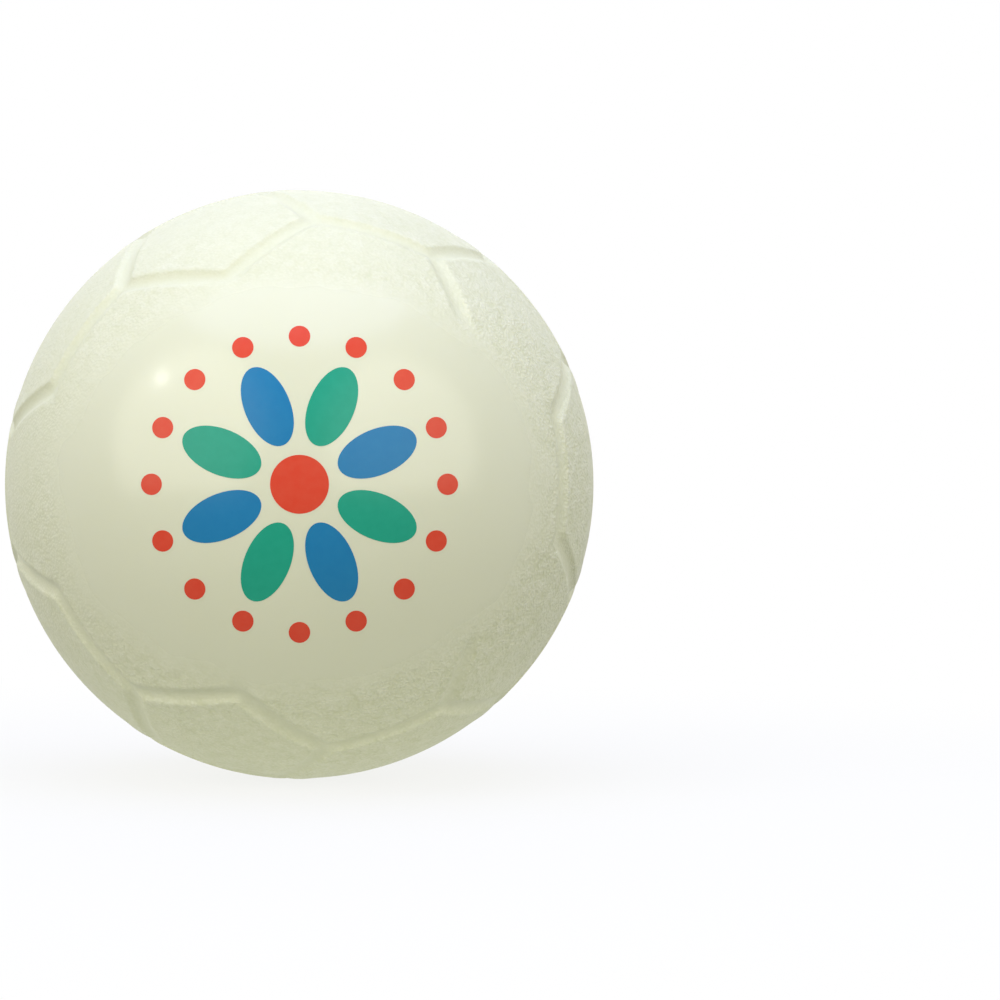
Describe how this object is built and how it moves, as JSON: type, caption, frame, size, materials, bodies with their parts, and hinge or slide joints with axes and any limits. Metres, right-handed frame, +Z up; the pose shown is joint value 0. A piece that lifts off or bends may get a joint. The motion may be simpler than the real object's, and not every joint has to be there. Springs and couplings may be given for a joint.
{
  "type": "mini soccer ball",
  "caption": "Small hollow soccer ball of moulded vinyl with panel seam channels, a smooth oval pad on the front and a needle valve whose rubber core pulls out of the back.",
  "frame": {"origin": "centre of the ball", "axes": "+Z up, the smooth pad faces -Y, the valve faces +Y, +X to the right seen from the pad"},
  "size_m": [0.102, 0.1018, 0.102],
  "materials": {
    "ball_vinyl": "soft cream vinyl, moulded, with fine pebble grain on the panels and a satin pad",
    "seat_vinyl": "firmer cream vinyl, turned smooth",
    "core_rubber": "natural gum rubber, dull"
  },
  "bodies": {
    "ball": {"ball_shell": "ball_vinyl", "valve_seat": "seat_vinyl"},
    "core": {"valve_core": "core_rubber"}
  },
  "joints": [
    {"name": "core_pull", "type": "slide", "parent": "ball", "child": "core", "axis": [0, 1, 0], "range_m": [0, 0.0125]}
  ]
}
